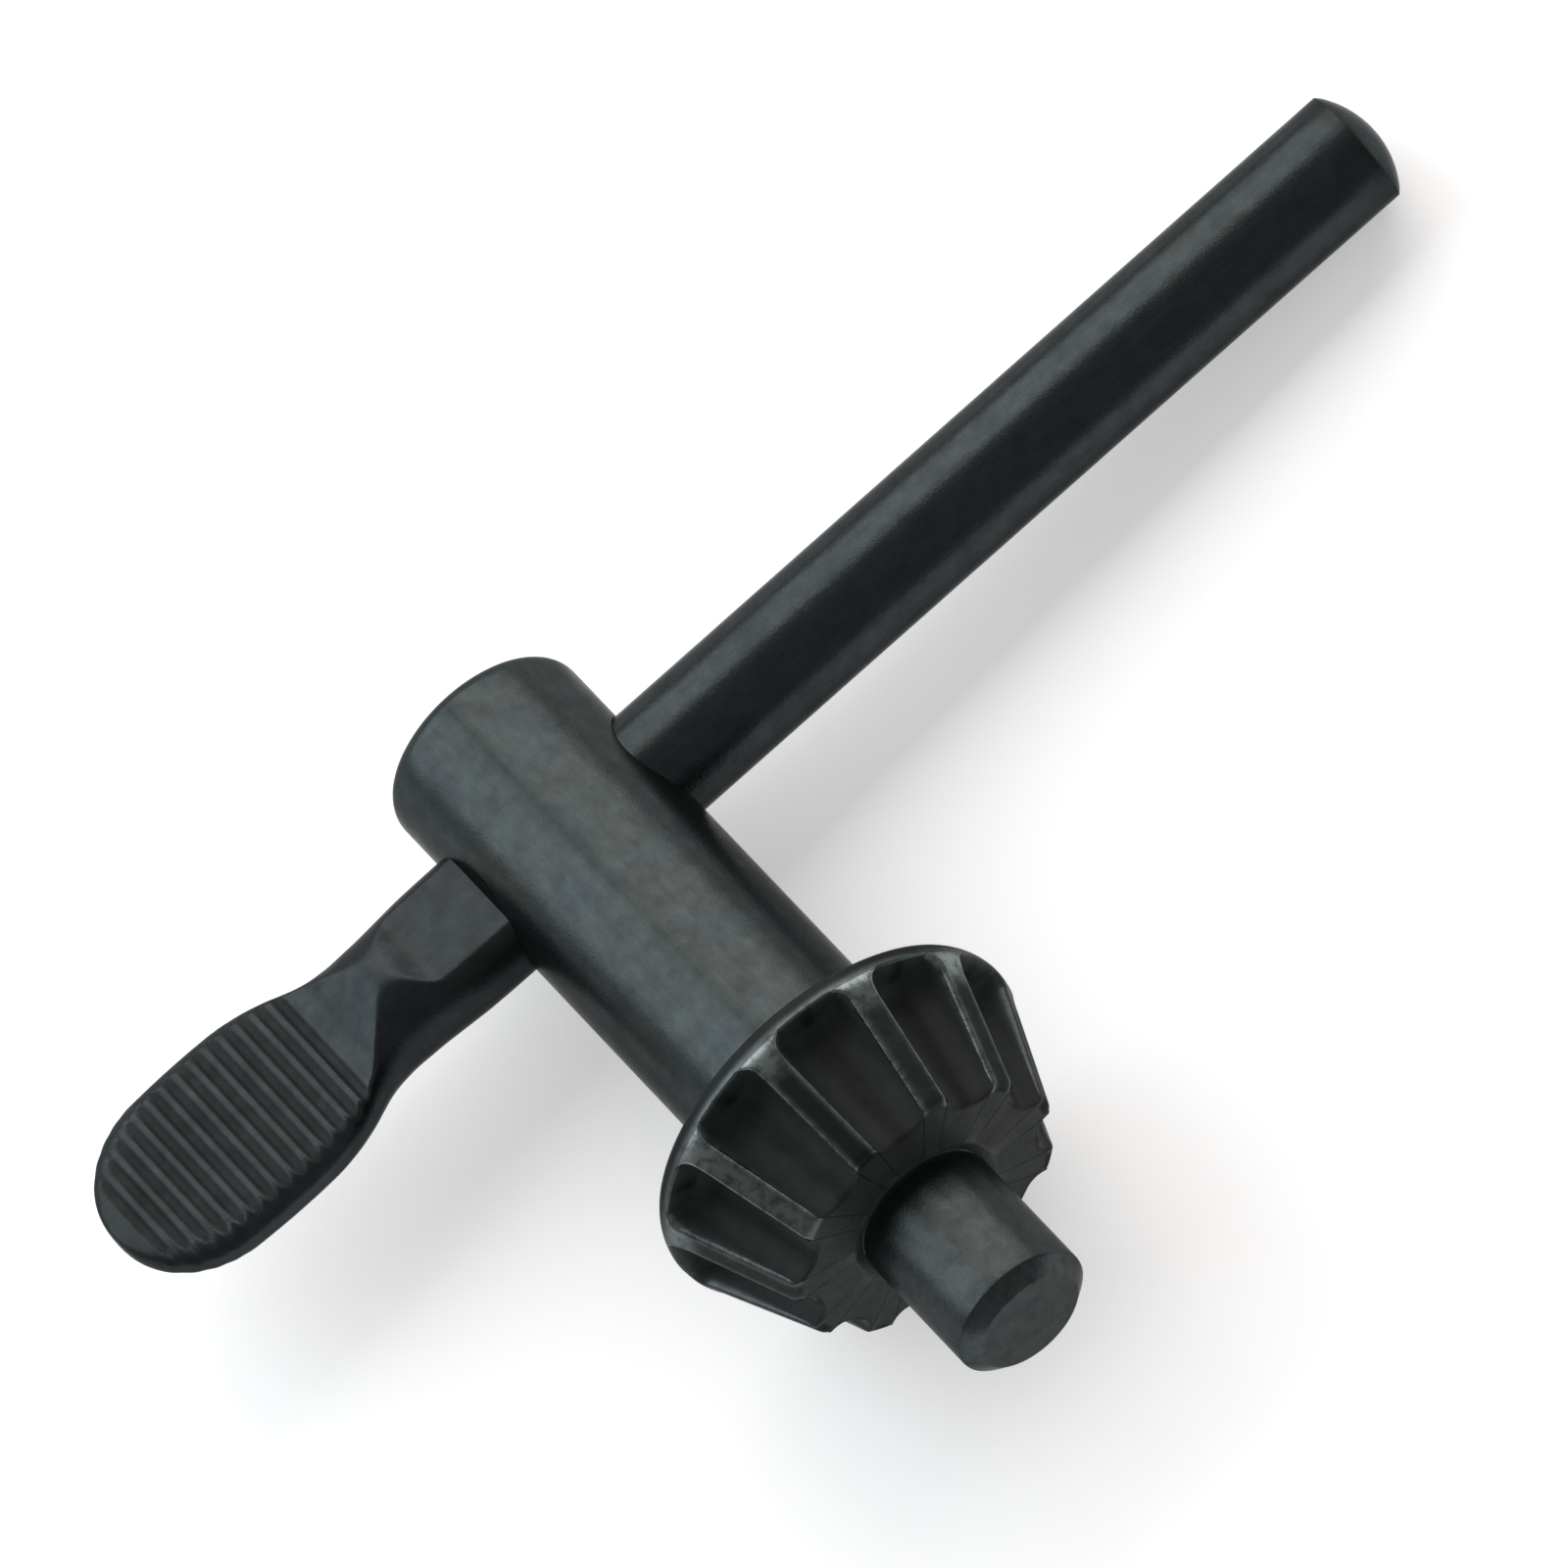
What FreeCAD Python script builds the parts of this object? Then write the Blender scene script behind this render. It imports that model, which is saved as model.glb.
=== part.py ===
import FreeCAD, Part
import math
import os

# Drill chuck key in millimetres: a toothed body and a round bar pressed through its cross hole
# The body axis is built along Y with the pilot toward -Y, the bar along X with its plain end toward +X
os.makedirs("parts", exist_ok=True)
V = FreeCAD.Vector

# Bar sizes, from the middle of the cross hole
bar_d = 6.7
plain_reach = 55.5
dome_height = 1.2
pad_reach = 31.5
pad_width = 11.2
pad_thick = 2.7
pad_edge_swell = 5.1
neck_at = 12.9
neck_swell = 1.05
widening_length = 7.7
tip_length = 5.9
staked_width = 7.76
staked_thick = 4.92
flat_to_neck = 2.9
ramp_to_neck = 0.2
tip_thin_length = 4.9
tip_thin = 0.5
ridge_pitch = 1.005
groove_from_neck = 4.05
groove_end_gap = 1.4
groove_width = 0.74
groove_depth = 0.3
die_over = 5.0

# Body sizes, s runs from the bar axis toward the pilot
shank_d = 12.0
top_reach = 8.4
top_round = 1.1
gear_d = 22.2
gear_back = 21.9
rim_back_in = 0.45
rim_widest_along = 0.95
rim_front_in = 0.3
rim_along = 2.2
gear_length = 8.5
gear_front_d = 16.6
tooth_tip_round = 0.6
rim_fillet = 0.7
tooth_count = 11
tooth_turn_deg = 1.0
rim_thick = 1.2
land_width = 1.4
flute_depth_back = 1.9
flute_depth_front = 1.05
flute_wall_deg = 20.0
flute_corner = 1.2
flute_end_bevel = 0.4
flute_over = 1.5
flute_run_out = 0.6
root_ring_depth = 0.35
root_ring_width = 0.5
root_neck_in = 0.2
pilot_d = 7.9
pilot_length = 8.9
pilot_chamfer_along = 0.8
pilot_chamfer_in = 0.9
mate_gap = 0.1

bar_r = bar_d / 2
shank_r = shank_d / 2
gear_r = gear_d / 2
front_r = gear_front_d / 2
pilot_r = pilot_d / 2
pitch_deg = 360.0 / tooth_count
# places along the body that follow from the back of the rim
gear_widest = gear_back + rim_widest_along
cone_start = gear_back + rim_along
gear_front = gear_back + gear_length
pilot_end = gear_front + pilot_length
rim_back_r = gear_r - rim_back_in
cone_start_r = gear_r - rim_front_in
# places along the pad side that follow from its neck and its tip
pad_full_at = neck_at + widening_length
pad_tip_starts = pad_reach - tip_length
flat_ends = neck_at - flat_to_neck
ramp_from = neck_at - ramp_to_neck
tip_thin_from = pad_reach - tip_thin_length
groove_first = neck_at + groove_from_neck
groove_count = int((pad_reach - groove_end_gap - groove_first) / ridge_pitch) + 1


def arc_edge(a, b, c):
    return Part.Arc(a, b, c).toShape()


def closed_edges(points):
    return [Part.makeLine(points[i], points[i + 1]) for i in range(len(points) - 1)]


# Blank of the body, one half section turned about the Y axis
def at(r, s):
    return V(r, -s, 0)


def corner_mid(centre_r, centre_s, radius, deg):
    a = math.radians(deg)
    return at(centre_r + radius * math.cos(a), centre_s + radius * math.sin(a))


cone_rad = math.atan2(cone_start_r - front_r, gear_front - cone_start)
cone_deg = math.degrees(cone_rad)
# Tip rounding: a circle touching the cone and the front face
tip_turn = math.radians(90 - cone_deg)
tip_back = tooth_tip_round * math.tan(tip_turn / 2)
tip_c_r = front_r - tip_back
tip_c_s = gear_front - tooth_tip_round
tip_a = at(front_r + tip_back * math.sin(cone_rad), gear_front - tip_back * math.cos(cone_rad))
tip_m = corner_mid(tip_c_r, tip_c_s, tooth_tip_round, (90 + cone_deg) / 2)
tip_b = at(tip_c_r, gear_front)

outline = []
outline += closed_edges([at(0, -top_reach), at(shank_r - top_round, -top_reach)])
outline.append(arc_edge(at(shank_r - top_round, -top_reach),
                        corner_mid(shank_r - top_round, -top_reach + top_round, top_round, -45),
                        at(shank_r, -top_reach + top_round)))
outline += closed_edges([at(shank_r, -top_reach + top_round), at(shank_r, gear_back - rim_fillet)])
outline.append(arc_edge(at(shank_r, gear_back - rim_fillet),
                        corner_mid(shank_r + rim_fillet, gear_back - rim_fillet, rim_fillet, 135),
                        at(shank_r + rim_fillet, gear_back)))
outline += closed_edges([at(shank_r + rim_fillet, gear_back), at(rim_back_r, gear_back)])
outline.append(arc_edge(at(rim_back_r, gear_back), at(gear_r, gear_widest), at(cone_start_r, cone_start)))
outline += closed_edges([at(cone_start_r, cone_start), tip_a])
outline.append(arc_edge(tip_a, tip_m, tip_b))
# The pilot's foot is relieved, so that a mating hole seats with its mouth just clear of the front face
ring_out = pilot_r + root_ring_width
seat_at = gear_front + mate_gap
outline += closed_edges([tip_b, at(ring_out, gear_front), at(pilot_r - root_neck_in, gear_front - root_ring_depth),
                         at(pilot_r, seat_at), at(pilot_r, pilot_end - pilot_chamfer_along),
                         at(pilot_r - pilot_chamfer_in, pilot_end), at(0, pilot_end), at(0, -top_reach)])
blank = Part.Face(Part.Wire(outline)).revolve(V(0, 0, 0), V(0, 1, 0), 360)


# One tooth space: U sections lofted along the body, closed just short of the rim
def crest_r(s):
    if s <= cone_start:
        return gear_r
    return cone_start_r - (s - cone_start) * math.tan(cone_rad)


def root_r(s):
    f = (s - gear_back) / gear_length
    root_back, root_front = gear_r - flute_depth_back, front_r - flute_depth_front
    return root_back + f * (root_front - root_back)


def flute_wire(s, inset):
    # half width at the crest is the half pitch less half a land
    top = crest_r(s)
    low = root_r(s) + inset
    wall = math.radians(flute_wall_deg)
    half_top = top * math.radians(pitch_deg) / 2 - land_width / 2 - inset
    half_low = half_top - (top - low) * math.tan(wall)
    high = top + flute_over
    half_high = half_top + flute_over * math.tan(wall)
    # fillet between floor and wall, no wider than the floor gives it room
    turn = math.radians(90) - wall
    corner = min(flute_corner, 0.95 * half_low / math.tan(turn / 2))
    back = corner * math.tan(turn / 2)
    cx = half_low - back
    cz = low + corner
    join = (half_low + back * math.sin(wall), low + back * math.cos(wall))
    mid_a = -wall / 2 - math.radians(45)
    mid = (cx + corner * math.cos(mid_a), cz + corner * math.sin(mid_a))

    def p(t, r):
        return V(t, -s, r)

    return Part.Wire([
        Part.makeLine(p(-half_high, high), p(-join[0], join[1])),
        arc_edge(p(-join[0], join[1]), p(-mid[0], mid[1]), p(-cx, low)),
        Part.makeLine(p(-cx, low), p(cx, low)),
        arc_edge(p(cx, low), p(mid[0], mid[1]), p(join[0], join[1])),
        Part.makeLine(p(join[0], join[1]), p(half_high, high)),
        Part.makeLine(p(half_high, high), p(-half_high, high)),
    ])


flute_start = gear_back + rim_thick
flute = Part.makeLoft([flute_wire(flute_start, flute_end_bevel),
                       flute_wire(flute_start + flute_end_bevel, 0.0),
                       flute_wire(cone_start + 0.01, 0.0),
                       flute_wire(gear_front + flute_run_out, 0.0)], True, True)
flutes = []
for i in range(tooth_count):
    # a tooth stands almost in the bar's direction, the spaces lie half a pitch to its side
    cut = flute.copy()
    cut.rotate(V(0, 0, 0), V(0, 1, 0), 90 + pitch_deg * (i + 0.5) + tooth_turn_deg)
    flutes.append(cut)
body = blank.cut(flutes)
hole = Part.makeCylinder(bar_r, 2 * shank_d, V(-shank_d, 0, 0), V(1, 0, 0))
body = body.cut(hole)

# Round bar with a domed plain end
dome_r = (bar_r ** 2 + dome_height ** 2) / (2 * dome_height)
edge_x = plain_reach - dome_height
half = math.asin(bar_r / dome_r) / 2
dome_mid = V(plain_reach - dome_r + dome_r * math.cos(half), dome_r * math.sin(half), 0)
bar_edges = closed_edges([V(-shank_r - 1.5, 0, 0), V(-shank_r - 1.5, bar_r - 0.4, 0), V(-shank_r - 1.1, bar_r, 0),
                          V(edge_x, bar_r, 0)])
bar_edges.append(arc_edge(V(edge_x, bar_r, 0), dome_mid, V(plain_reach, 0, 0)))
bar_edges += closed_edges([V(plain_reach, 0, 0), V(-shank_r - 1.5, 0, 0)])
bar = Part.Face(Part.Wire(bar_edges)).revolve(V(0, 0, 0), V(1, 0, 0), 360)
# On the pad side the plain round ends at the shank's surface
shank_core = Part.makeCylinder(shank_r, 4 * bar_d, V(0, -2 * bar_d, 0), V(0, 1, 0))
beyond = Part.makeBox(2 * shank_d, 4 * bar_d, 4 * bar_d, V(-2 * shank_d, -2 * bar_d, -2 * bar_d)).cut(shank_core)
bar = bar.cut(beyond)


# Thumb pad side: ellipses lofted along the bar, later flattened between two die faces
def ellipse_wire(u, w, h):
    return Part.Wire(Part.Ellipse(V(-u, w, 0), V(-u, 0, h), V(-u, 0, 0)).toShape())


pad_half = pad_width / 2
edge_half = pad_edge_swell / 2
neck_w = bar_r * neck_swell
neck_h = bar_r * (neck_swell - 0.02)
staked_half = staked_width / 2
# share of the way from the neck to the full pad, and share of the widening reached there
widening = [(0.0, 0.0), (0.12, 0.005), (0.21, 0.05), (0.30, 0.11), (0.39, 0.22), (0.47, 0.355), (0.56, 0.525),
            (0.65, 0.66), (0.73, 0.765), (0.82, 0.855), (0.91, 0.925), (1.0, 0.965)]
# share of the way from the body to the neck, and share of the staked width left there
narrowing = [(0.0, 1.0), (0.22, 0.98), (0.45, 0.84), (0.65, 0.48), (0.84, 0.12), (1.0, 0.0)]


def share(table, f):
    f = min(max(f, table[0][0]), table[-1][0])
    for (f0, g0), (f1, g1) in zip(table, table[1:]):
        if f <= f1:
            return g0 + (g1 - g0) * (f - f0) / (f1 - f0)
    return table[-1][1]


def pad_section(u):
    if u <= neck_at:
        left = share(narrowing, (u - shank_r) / (neck_at - shank_r))
        return neck_w + left * (staked_half - neck_w), bar_r + (1 - left) * (neck_h - bar_r)
    f = (u - neck_at) / (pad_full_at - neck_at)
    if f <= 1:
        wide = share(widening, f)
    else:
        g = (u - pad_full_at) / (pad_tip_starts - pad_full_at)
        wide = 1.0 - 0.035 * (2 * g - 1) ** 2
    return neck_w + wide * (pad_half - neck_w), neck_h + min(1.0, f * 1.15) * (edge_half - neck_h)


section_from = shank_r - 3.0
section_step = 0.75
section_count = round((pad_tip_starts - section_from) / section_step)
sections = []
for i in range(section_count):
    u = section_from + (pad_tip_starts - section_from) * i / section_count
    w, h = pad_section(u)
    sections.append(ellipse_wire(u, w, h))
for deg in (0, 9, 18, 28, 38, 48, 58, 67, 75, 82):
    a = math.radians(deg)
    w = pad_section(pad_tip_starts)[0] * math.cos(a) ** 0.92
    h = edge_half * math.cos(a) ** 0.45
    sections.append(ellipse_wire(pad_tip_starts + tip_length * math.sin(a), w, min(h, w * 0.97)))
sections.append(Part.Vertex(V(-pad_reach, 0, 0)))
pad = Part.makeLoft(sections, True, False)
pad = pad.cut(shank_core)

# Die faces: flat beside the body, above the round neck, then down to the pad
flat_z = staked_thick / 2
pad_z = pad_thick / 2
over_z = bar_r * 1.08
far = pad_reach + die_over
rise = [(flat_ends, flat_z), (flat_ends + 0.3, flat_z + 0.15), (flat_ends + 0.72, flat_z + 0.52),
        (flat_ends + 1.2, flat_z + 0.76), (flat_ends + 1.8, flat_z + 0.98), (flat_ends + 2.2, over_z)]
fall = [(ramp_from, over_z), (ramp_from + 0.6, pad_z + 1.84), (ramp_from + 1.4, pad_z + 1.36),
        (ramp_from + 2.2, pad_z + 0.85), (ramp_from + 2.9, pad_z + 0.36), (ramp_from + 3.35, pad_z + 0.12),
        (ramp_from + 3.9, pad_z)]
thin = [(tip_thin_from, pad_z), (tip_thin_from + 0.35 * tip_thin_length, pad_z - 0.14 * tip_thin),
        (tip_thin_from + 0.67 * tip_thin_length, pad_z - 0.48 * tip_thin), (pad_reach, pad_z - tip_thin)]


def die(sign):
    def q(u, z):
        return V(-u, -2 * pad_width, sign * z)

    def spline(points, first, last):
        curve = Part.BSplineCurve()
        curve.interpolate(Points=[q(u, z) for u, z in points], InitialTangent=first, FinalTangent=last)
        return curve.toShape()

    along = V(-1, 0, 0)
    high = 3 * bar_r
    edges = [Part.makeLine(q(0, high), q(0, flat_z)), Part.makeLine(q(0, flat_z), q(*rise[0])),
             spline(rise, along, V(-1, 0, sign * 0.9)), Part.makeLine(q(*rise[-1]), q(*fall[0])),
             spline(fall, V(-1, 0, -sign * 0.5), along), Part.makeLine(q(*fall[-1]), q(*thin[0])),
             spline(thin, along, V(-1, 0, -sign * 0.25)), Part.makeLine(q(*thin[-1]), q(far, thin[-1][1])),
             Part.makeLine(q(far, thin[-1][1]), q(far, high)), Part.makeLine(q(far, high), q(0, high))]
    return Part.Face(Part.Wire(edges)).extrude(V(0, 4 * pad_width, 0))


groove_r = (groove_width ** 2 / 4 + groove_depth ** 2) / (2 * groove_depth)
tools = [die(1), die(-1)]
for i in range(groove_count):
    u = groove_first + i * ridge_pitch
    for sign in (1, -1):
        z = sign * (pad_z - groove_depth + groove_r)
        tools.append(Part.makeCylinder(groove_r, 2 * pad_width, V(-u, -pad_width, z), V(0, 1, 0)))
pad = pad.cut(tools)
handle = bar.fuse(pad).removeSplitter()

# Rest pose: the key lies on its whole rim, the edge of the shank's far end and the plain end of the bar
steps = [math.radians(a) for a in range(0, 360, 2)]
lip_points = [V(gear_r * math.cos(a), -gear_widest, gear_r * math.sin(a)) for a in steps]
top_points = []
for a in steps:
    for k in range(0, 91, 5):
        r = shank_r - top_round + top_round * math.cos(math.radians(k))
        top_points.append(V(r * math.cos(a), top_reach - top_round + top_round * math.sin(math.radians(k)),
                            r * math.sin(a)))
end_points = [V(edge_x, bar_r * math.cos(a), bar_r * math.sin(a)) for a in steps]
down = V(0, 0, -1)
for _ in range(12):
    trio = [max(group, key=lambda p: p.dot(down)) for group in (lip_points, top_points, end_points)]
    down = (trio[1] - trio[0]).cross(trio[2] - trio[0])
    down.normalize()
    if down.z > 0:
        down = down * -1
up = down * -1
ahead = V(1, 0, 0) - up * up.x
ahead.normalize()
side = up.cross(ahead)
turn = FreeCAD.Matrix(ahead.x, ahead.y, ahead.z, 0, side.x, side.y, side.z, 0, up.x, up.y, up.z, 0, 0, 0, 0, 1)
body = body.transformed(turn, copy=True)
handle = handle.transformed(turn, copy=True)
floor_z = min(turn.multVec(p).z for p in trio)
points = []
for shape in (body, handle):
    points += shape.tessellate(0.02)[0]
mid_x = (min(p.x for p in points) + max(p.x for p in points)) / 2
mid_y = (min(p.y for p in points) + max(p.y for p in points)) / 2
shift = V(-mid_x, -mid_y, -floor_z)
for name, shape in (("key_body", body), ("handle_bar", handle)):
    shape.translate(shift)
    print(name, "valid", shape.isValid(), "solids", len(shape.Solids), "volume", round(shape.Volume, 1))
    shape.exportStep("parts/" + name + ".step")
print("up in the key's own axes", round(up.x, 6), round(up.y, 6), round(up.z, 6))
print("shift", round(shift.x, 4), round(shift.y, 4), round(shift.z, 4))
# The pilot pin's free wall, clear of the front face, for the record's mount
wall_to = pilot_end - pilot_chamfer_along
pin = turn.multVec(V(0, -(seat_at + wall_to) / 2, 0)) + shift
pin_axis = turn.multVec(V(0, -1, 0))
print("pilot middle", round(pin.x, 4), round(pin.y, 4), round(pin.z, 4), "length", round(wall_to - seat_at, 3))
print("pilot axis", round(pin_axis.x, 6), round(pin_axis.y, 6), round(pin_axis.z, 6))
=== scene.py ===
import math

import bpy
import numpy as np
from mathutils import Matrix, Vector


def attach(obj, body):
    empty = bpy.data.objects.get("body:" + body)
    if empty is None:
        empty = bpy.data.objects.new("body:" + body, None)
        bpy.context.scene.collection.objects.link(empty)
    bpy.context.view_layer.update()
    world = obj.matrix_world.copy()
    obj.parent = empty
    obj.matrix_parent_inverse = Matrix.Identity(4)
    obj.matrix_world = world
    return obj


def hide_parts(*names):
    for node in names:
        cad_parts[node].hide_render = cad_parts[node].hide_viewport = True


# Drill chuck key: a toothed body of blackened steel and the bar pressed through its cross hole
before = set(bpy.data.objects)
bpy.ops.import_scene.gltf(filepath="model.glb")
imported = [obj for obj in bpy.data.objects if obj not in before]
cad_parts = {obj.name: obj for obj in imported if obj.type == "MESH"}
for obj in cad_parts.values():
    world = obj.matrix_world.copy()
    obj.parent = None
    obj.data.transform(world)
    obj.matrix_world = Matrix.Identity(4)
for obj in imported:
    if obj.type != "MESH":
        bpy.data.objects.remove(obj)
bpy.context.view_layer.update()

# Key body
# Blackened steel turned from one bar, with eleven tooth spaces milled round its cone.
# A cross hole takes the bar, and the pin at the front fits the pilot hole of a chuck.

# Sizes in mm. A place along the body is s, its distance from the bar's axis toward the pilot.
SHANK_R = 6.0
TOP_REACH = 8.4
TOP_ROUND = 1.1
HOLE_R = 3.358
HOLE_EDGE = 0.06
TEETH = 11
PITCH = 2 * math.pi / TEETH
TOOTH_TURN = math.radians(1.0)
RIM_BACK = 21.9
RIM_BACK_R = 10.65
RIM_BACK_SOFT = 0.13
WIDEST = 22.85
GEAR_R = 11.1
CONE_START = 24.1
CONE_START_R = 10.8
FRONT = 30.4
FRONT_R = 8.3
TIP_ROUND = 0.6
RIM_FILLET = 0.7
RIM_THICK = 1.2
RIM_EDGE = 0.14
CREST_STEP = 0.03
LAND = 1.4
ROOT_BACK = 9.2
ROOT_FRONT = 7.25
WALL = math.radians(20.0)
FLOOR_CORNER = 1.2
FLOOR_ROUND = 0.16
END_ROUND = 0.95
SOFT_EDGE = 0.2
PILOT_R = 3.95
PILOT_END = 39.3
PILOT_CHAMFER_ALONG = 0.8
PILOT_CHAMFER_IN = 0.9
RING_DEPTH = 0.35
RING_WIDTH = 0.5
NECK_IN = 0.2
SEAT_GAP = 0.1

cone_slope = (CONE_START_R - FRONT_R) / (FRONT - CONE_START)
cone_angle = math.atan(cone_slope)
flute_start = RIM_BACK + RIM_THICK
bevel_end = flute_start + END_ROUND


def circle_through(p, q, r):
    """Centre and radius of the circle through three points of a plane. The centre is as far from p as
    from q and as from r, which gives two straight lines that cross in it."""
    lines = 2 * np.array([[q[0] - p[0], q[1] - p[1]], [r[0] - p[0], r[1] - p[1]]])
    side = np.array([q[0] ** 2 + q[1] ** 2 - p[0] ** 2 - p[1] ** 2,
                     r[0] ** 2 + r[1] ** 2 - p[0] ** 2 - p[1] ** 2])
    centre = np.linalg.solve(lines, side)
    return centre, math.hypot(p[0] - centre[0], p[1] - centre[1])


rim_centre, rim_radius = circle_through((RIM_BACK_R, RIM_BACK), (GEAR_R, WIDEST), (CONE_START_R, CONE_START))


def blank_r(s):
    """Radius of the turned blank at s: an arc over the rim, then a straight cone."""
    arc = rim_centre[0] + np.sqrt(np.maximum(rim_radius ** 2 - (s - rim_centre[1]) ** 2, 0))
    return np.where(s < CONE_START, arc, CONE_START_R - (s - CONE_START) * cone_slope)


# Points over half a tooth space and half a land, from the middle of the space to the middle of the land
FLOOR_POINTS, CORNER_POINTS, WALL_POINTS, EDGE_POINTS, LAND_POINTS = 5, 7, 6, 5, 4
columns_half = FLOOR_POINTS + CORNER_POINTS + WALL_POINTS + EDGE_POINTS + LAND_POINTS
columns = 2 * columns_half * TEETH
# How much a column belongs to the tooth's crest: 0 on the floor, 1 on the land, smooth over the wall
crest_share = np.concatenate([np.zeros(FLOOR_POINTS + CORNER_POINTS),
                              (np.arange(WALL_POINTS) + 0.5) / WALL_POINTS,
                              np.ones(EDGE_POINTS + LAND_POINTS)])
crest_share = crest_share ** 2 * (3 - 2 * crest_share)


def half_space(s, radius, inset):
    """Half of one tooth space and half a land across the body, from the space's middle outwards.
    In turn: a flat floor, a round corner, a straight wall leaning out by WALL, a small round over the
    edge as a three-point curve, and the arc of the crest. s, radius and inset are one row each."""
    s, radius, inset = s[:, None], radius[:, None], inset[:, None]
    top = np.where(s < CONE_START, GEAR_R, CONE_START_R - (s - CONE_START) * cone_slope)
    low = ROOT_BACK + (s - RIM_BACK) / (FRONT - RIM_BACK) * (ROOT_FRONT - ROOT_BACK) + inset
    half_top = top * PITCH / 2 - LAND / 2 - inset
    half_low = half_top - (top - low) * math.tan(WALL)
    back = FLOOR_CORNER * math.tan((math.pi / 2 - WALL) / 2)
    floor_half = half_low - back
    # The wall's line leaves the blank at the corner
    b = half_top * math.sin(WALL) + top * math.cos(WALL)
    reach = -b + np.sqrt(b * b - (half_top ** 2 + top ** 2 - radius ** 2))
    corner = np.stack([half_top + reach * math.sin(WALL), top + reach * math.cos(WALL)], -1)
    wall_foot = np.stack([half_low + back * math.sin(WALL), low + back * math.cos(WALL)], -1)
    edge_in = corner - SOFT_EDGE * np.array([math.sin(WALL), math.cos(WALL)])
    turn = np.arctan2(corner[..., 0], corner[..., 1]) + SOFT_EDGE / radius
    edge_out = np.stack([radius * np.sin(turn), radius * np.cos(turn)], -1)
    f = (np.arange(FLOOR_POINTS) + 0.5) / FLOOR_POINTS
    floor = np.stack([floor_half * f, low + 0 * f], -1)
    bend = np.arange(CORNER_POINTS) / CORNER_POINTS * (math.pi / 2 - WALL)
    bent = np.stack([floor_half + FLOOR_CORNER * np.sin(bend), low + FLOOR_CORNER * (1 - np.cos(bend))], -1)
    f = (np.arange(WALL_POINTS) / WALL_POINTS)[:, None]
    wall = wall_foot * (1 - f) + edge_in * f
    f = (np.arange(EDGE_POINTS) / EDGE_POINTS)[:, None]
    edge = edge_in * (1 - f) ** 2 + 2 * corner * f * (1 - f) + edge_out * f ** 2
    # The last point stops half a step short of the land's middle, where the mirrored half begins
    land_turn = turn + (PITCH / 2 - turn) * (np.arange(LAND_POINTS) / (LAND_POINTS - 0.5))
    land = np.stack([radius * np.sin(land_turn), radius * np.cos(land_turn)], -1)
    return np.concatenate([floor, bent, wall, edge, land], 1)


def tooth_rings(s_land, s_floor, radius, inset, shrink):
    """Closed rings round all the teeth: half a space and its mirror image, turned to each tooth space.
    Each row takes one s at the crests and one at the floors, and shrink draws the floors inwards a
    little, which rounds the front ends of the tooth spaces."""
    s_all = s_floor[:, None] * (1 - crest_share) + s_land[:, None] * crest_share
    half = half_space((s_land + s_floor) / 2, radius, inset)
    size = np.linalg.norm(half, axis=-1, keepdims=True)
    half = half * (1 - shrink[:, None, None] * (1 - crest_share)[None, :, None] / size)
    both = np.concatenate([half[:, ::-1] * np.array([-1.0, 1.0]), half], 1)
    along = np.concatenate([s_all[:, ::-1], s_all], 1)
    middle = (np.arange(TEETH) + 0.5) * PITCH - TOOTH_TURN
    t, r = both[:, None, :, 0], both[:, None, :, 1]
    c, n = np.cos(middle)[None, :, None], np.sin(middle)[None, :, None]
    x = r * c - t * n
    z = r * n + t * c
    y = np.broadcast_to(-along[:, None, :], x.shape)
    return np.stack([x, y, z], -1).reshape(len(s_land), columns, 3)


def about_axis(radius, s, angle):
    """Points at a radius from the body's axis, at s along it and at an angle round it."""
    return np.stack(np.broadcast_arrays(radius * np.cos(angle), -s, radius * np.sin(angle)), -1)


def turned_rings(profile, angles):
    """Rings of a turned surface: each row has one radius and one s, each column one angle."""
    return about_axis(profile[:, 0:1], profile[:, 1:2], angles)


def arc_points(centre, radius, start, end, count):
    """Points on an arc in the plane of radius and s, ends included."""
    a = np.radians(np.linspace(start, end, count))
    return np.stack([centre[0] + radius * np.cos(a), centre[1] + radius * np.sin(a)], -1)


def all_round(half):
    """A row of numbers over half a space, mirrored and repeated for each tooth space round the body."""
    return np.tile(np.concatenate([half[::-1], half]), TEETH)


# From the front face back over the teeth
tip_back = TIP_ROUND * math.tan((math.pi / 2 - cone_angle) / 2)
tip_centre = (FRONT_R - tip_back, FRONT - TIP_ROUND)
phi = np.linspace(math.pi / 2, cone_angle, 7)
phi_floor = np.linspace(math.pi / 2, 0, 7)
front_rows = tooth_rings(
    tip_centre[1] + TIP_ROUND * np.sin(phi), FRONT - FLOOR_ROUND + FLOOR_ROUND * np.sin(phi_floor),
    tip_centre[0] + TIP_ROUND * np.cos(phi), 0 * phi, FLOOR_ROUND * (1 - np.cos(phi_floor)))
land_from = tip_centre[1] + TIP_ROUND * math.sin(cone_angle)
f = np.linspace(0, 1, 22)[1:]
s_land = land_from + (bevel_end - land_from) * f
s_floor = FRONT - FLOOR_ROUND + (bevel_end - FRONT + FLOOR_ROUND) * f
flank_rows = tooth_rings(s_land, s_floor, blank_r(s_land), 0 * f, 0 * f)
f = np.sin(np.linspace(0, 1.25, 9)[1:])
s_bevel = bevel_end - (bevel_end - flute_start) * f / f[-1]
bevel_rows = tooth_rings(s_bevel, s_bevel, blank_r(s_bevel), END_ROUND * (1 - np.sqrt(1 - f ** 2)), 0 * f)

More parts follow.
